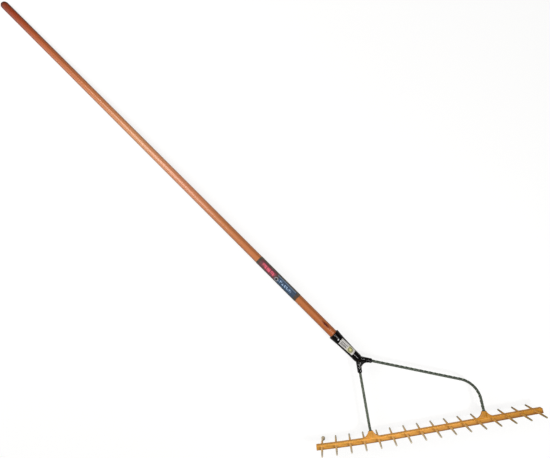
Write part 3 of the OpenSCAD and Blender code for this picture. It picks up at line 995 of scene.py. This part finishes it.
# Teeth. Sixteen moulded pegs of beige nylon, pushed through the bar up to a plain core, each
# with a tapered, round-nosed tooth out of both faces.
reach = 65.5 * MM
core_half = 8.5 * MM
tip_r = 2.5 * MM
nose = 2 * MM
peg_turn = 37
peg = [
    (core_half - 0.3 * MM, 4 * MM), (core_half, 3.7 * MM), (core_half + 0.2 * MM, 3.4 * MM),
    (core_half + 20 * MM, 3.15 * MM), (core_half + 40 * MM, 2.8 * MM),
    (reach - 9 * MM, 2.64 * MM), (reach - nose, tip_r),
]
upper = peg + rounded_end(reach, tip_r, nose, 5)
lower = [(-height, r) for height, r in reversed(upper)]
first_tooth = turned("tooth", 28, lower + upper)
smooth(first_tooth, 40)

# Moulded nylon: a beige that soil has dulled, with a dry, low sheen. Near the bar it is a warm
# orange beige, partly painted light thrown on the roots by the orange bar. The tips are worn
# greyer, and the pegs on the right are darker.
nylon, tree, shader, place = new_finish("moulded_beige_nylon")
soil_and_shade = add_node(tree, "TexNoise", {"Vector": place, "Scale": 300, "Detail": 4}).outputs["Fac"]
height = add_node(tree, "SeparateXYZ", {0: place}).outputs["Z"]
height = add_node(tree, "Math", {0: height}, operation="ABSOLUTE").outputs[0]
height = add_node(tree, "MapRange", {
    "Value": height, "From Min": 8 * MM, "From Max": 60 * MM,
}).outputs[0]
# Colour by height on the peg: the warm orange near the bar is partly painted light from the bar
left_lighter = add_node(tree, "ValToRGB", {0: height}, stops=[
    (0.0, "#F0B564"), (0.30, "#F5C27A"), (0.48, "#E6C184"), (0.65, "#D9C49E"), (1.0, "#D3C6AC"),
]).outputs[0]
right_darker = add_node(tree, "ValToRGB", {0: height}, stops=[
    (0.0, "#DC9A3E"), (0.33, "#D8A04C"), (0.48, "#BE8E44"), (0.65, "#AA8448"), (1.0, "#938157"),
]).outputs[0]
side = add_node(tree, "SeparateXYZ", {0: along_bar(tree, place)}).outputs["X"]
side = add_node(tree, "MapRange", {"Value": side, "From Min": -0.05, "From Max": 0.25}).outputs[0]
specks = add_node(tree, "ValToRGB", {0: soil_and_shade}, stops=[(0.3, 0.9), (0.7, 1.0)]).outputs[0]
tone = shaded(tree, over(tree, left_lighter, side, right_darker), specks)
gloss = add_node(tree, "MapRange", {"Value": soil_and_shade, "To Min": 0.38, "To Max": 0.55}).outputs[0]
relief = add_node(tree, "Bump", {
    "Height": soil_and_shade, "Strength": 0.2, "Distance": 0.08 * MM,
}).outputs[0]
feed(tree, shader, {"Base Color": tone, "Roughness": gloss, "Normal": relief})

for i, x in enumerate(peg_at):
    take(first_tooth)
    bpy.ops.object.duplicate()
    tooth = bpy.context.object
    tooth.name = f"peg_{i + 1:02d}"
    settle(tooth, (0, 0, peg_turn * i))
    if i == 0:
        # The first peg's far tip is mushroomed, bent aside and shorter, in four steps from its end
        bpy.ops.object.mode_set(mode="EDIT")
        for end, grow, aside, short in (
            (4, 1.1, 0, 0), (9, 1.55, 1, 0), (13, 1.4, 1, 2), (20, 1, 1.2, 3),
        ):
            pick(tooth, "verts", lambda c, n: c.z < -(reach - end * MM))
            bpy.ops.transform.resize(value=(grow, grow, 1), center_override=(0, 0, -reach))
            bpy.ops.transform.translate(value=(aside * MM, 0, short * MM))
        bpy.ops.object.mode_set(mode="OBJECT")
    settle(tooth, (peg_lean(x), 0, 0), (x, bow(x), 0))
    to_bar(tooth)
    dress(tooth, nylon)
    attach(tooth, "root")
    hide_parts(f"tooth_{i + 1:02d}")
bpy.data.objects.remove(first_tooth, do_unlink=True)


# Studio. A pale floor that touches the lower points of the teeth and the handle's end, a soft
# box beyond the handle, two small lamps low on the camera's right, and a pale room that is
# lighter beyond the handle, with one white panel far on its left.
floor_slope = 0.03005
floor_glow = 0.77
fall = Vector((math.sin(spin), math.cos(spin), 0))

deselect()
bpy.ops.mesh.primitive_plane_add(size=40, location=(0, bar_y, -reach))
floor = bpy.context.object
floor.name = "studio_floor"
floor.rotation_euler = Vector((-floor_slope * fall.x, -floor_slope * fall.y, 1)).to_track_quat(
    "Z", "Y").to_euler()
pale, tree, shader, place = new_finish("pale_studio_floor")
feed(tree, shader, {"Base Color": linear("#A8A8A8"), "Roughness": 0.9, "Specular IOR Level": 0.0})
light_path = add_node(tree, "LightPath")
seen = add_node(tree, "Math", {0: light_path.outputs["Is Camera Ray"],
                               1: light_path.outputs["Is Transmission Ray"]},
                operation="ADD", use_clamp=True).outputs[0]
dim = add_node(tree, "BsdfDiffuse", {"Color": (0.25, 0.25, 0.25, 1)}).outputs[0]
glow = add_node(tree, "Emission", {"Color": (1, 1, 1, 1), "Strength": floor_glow}).outputs[0]
shown = add_node(tree, "AddShader", {0: dim, 1: glow}).outputs[0]
# Beyond the lamps' reach the floor fades into the white room, so that no horizon shows
away = add_node(tree, "VectorMath", {0: place}, operation="LENGTH").outputs["Value"]
away = add_node(tree, "MapRange", {"Value": away, "From Min": 1.6, "From Max": 3.2},
                interpolation_type="SMOOTHSTEP").outputs[0]
far_white = add_node(tree, "Emission", {"Color": (1, 1, 1, 1), "Strength": 1.0}).outputs[0]
shown = add_node(tree, "MixShader", {0: away, 1: shown, 2: far_white}).outputs[0]
mixed = add_node(tree, "MixShader", {0: seen, 1: shader.outputs[0], 2: shown}).outputs[0]
output = next(n for n in tree.nodes if n.type == "OUTPUT_MATERIAL")
feed(tree, output, {"Surface": mixed})
dress(floor, pale)

world = bpy.data.worlds.new("studio_room")
world.use_nodes = True
bpy.context.scene.world = world
tree = world.node_tree
tree.nodes.clear()
light_path = add_node(tree, "LightPath")
around = add_node(tree, "TexCoord").outputs["Generated"]
up = add_node(tree, "SeparateXYZ", {0: around}).outputs["Z"]
low_wall = add_node(tree, "MapRange", {
    "Value": up, "From Min": 0.03, "From Max": 0.35, "To Min": 0.2, "To Max": 0.05,
}).outputs[0]
room_sides = []
for way, start, full, low, high in (
    ((-0.72, 0.69, 0), -1, 1, 0.3, 1.0),
    ((-0.6, 0.8, 0), 0.5, 0.85, 0, 1),
    ((-0.35, 0.94, 0), -1, 1, 0.12, 0.92),
):
    side = add_node(tree, "VectorMath", {0: around, 1: way}, operation="DOT_PRODUCT")
    room_sides.append(add_node(tree, "MapRange", {
        "Value": side.outputs["Value"], "From Min": start, "From Max": full,
        "To Min": low, "To Max": high,
    }).outputs[0])
wall_side, panel_side, light_side = room_sides
panel = add_node(tree, "MapRange", {
    "Value": up, "From Min": 0.3, "From Max": 0.75, "To Min": 1.3, "To Max": 0,
}).outputs[0]
low_wall = add_node(tree, "Math", {
    0: low_wall, 1: wall_side, 2: both(tree, panel, panel_side),
}, operation="MULTIPLY_ADD").outputs[0]
reflected = add_node(tree, "Background", {"Color": (1, 1, 1, 1), "Strength": low_wall}).outputs[0]
from_above = add_node(tree, "MapRange", {"Value": up, "To Min": 0.5, "To Max": 1.15}).outputs[0]
ambient = add_node(tree, "Background", {
    "Color": (1, 0.99, 0.97, 1), "Strength": both(tree, light_side, from_above),
}).outputs[0]
white = add_node(tree, "Background", {"Color": (1, 1, 1, 1), "Strength": 1.0}).outputs[0]
mirror_ray = add_node(tree, "Math", {0: light_path.outputs["Is Glossy Ray"],
                                     1: light_path.outputs["Is Transmission Ray"]},
                      operation="ADD", use_clamp=True).outputs[0]
mixed = add_node(tree, "MixShader", {0: mirror_ray, 1: ambient, 2: reflected}).outputs[0]
mixed = add_node(tree, "MixShader", {
    0: light_path.outputs["Is Camera Ray"], 1: mixed, 2: white,
}).outputs[0]
add_node(tree, "OutputWorld", {"Surface": mixed})

for name, at, aim, wide, high, watts, tint in (
    ("far_softbox", (-0.42, 1.56, 2.1), (0, 0.5, 0), 2.0, 1.2, 35, (1, 0.99, 0.97)),
    ("camera_strip", (0.156, -0.675, 1.33), (0.156, -0.675, 0), 0.06, 0.36, 2.6, (1, 1, 1)),
    ("right_lamp", (0.22, -1.05, 1.35), (0.08, -0.78, 0), 0.1, 0.1, 4.8, (1, 0.99, 0.97)),
):
    bpy.ops.object.light_add(type="AREA", location=at)
    lamp = bpy.context.object
    lamp.name = name
    lamp.data.shape = "RECTANGLE"
    lamp.data.size = wide
    lamp.data.size_y = high
    lamp.data.energy = watts
    lamp.data.color = tint
    lamp.rotation_euler = (Vector(aim) - Vector(at)).to_track_quat("-Z", "Y").to_euler()

bpy.ops.object.camera_add()
camera = bpy.context.object
camera.name = "studio_camera"
look = Vector((0.05435, 0.12355, -0.99085)).normalized()
right = look.cross(Vector((0.71377, 0.68912, 0.12508))).normalized()
raise_to = right.cross(look)
camera.matrix_world = Matrix.Translation((0.11533, -0.18946, 1.31311)) @ Matrix(
    (right, raise_to, -look)).transposed().to_4x4()
camera.data.sensor_width = 36
camera.data.lens = 26.18
camera.data.shift_x = -0.0525
camera.data.shift_y = -0.00944
camera.data.clip_start = 0.05
bpy.context.scene.camera = camera
bpy.context.scene.view_settings.view_transform = "Standard"
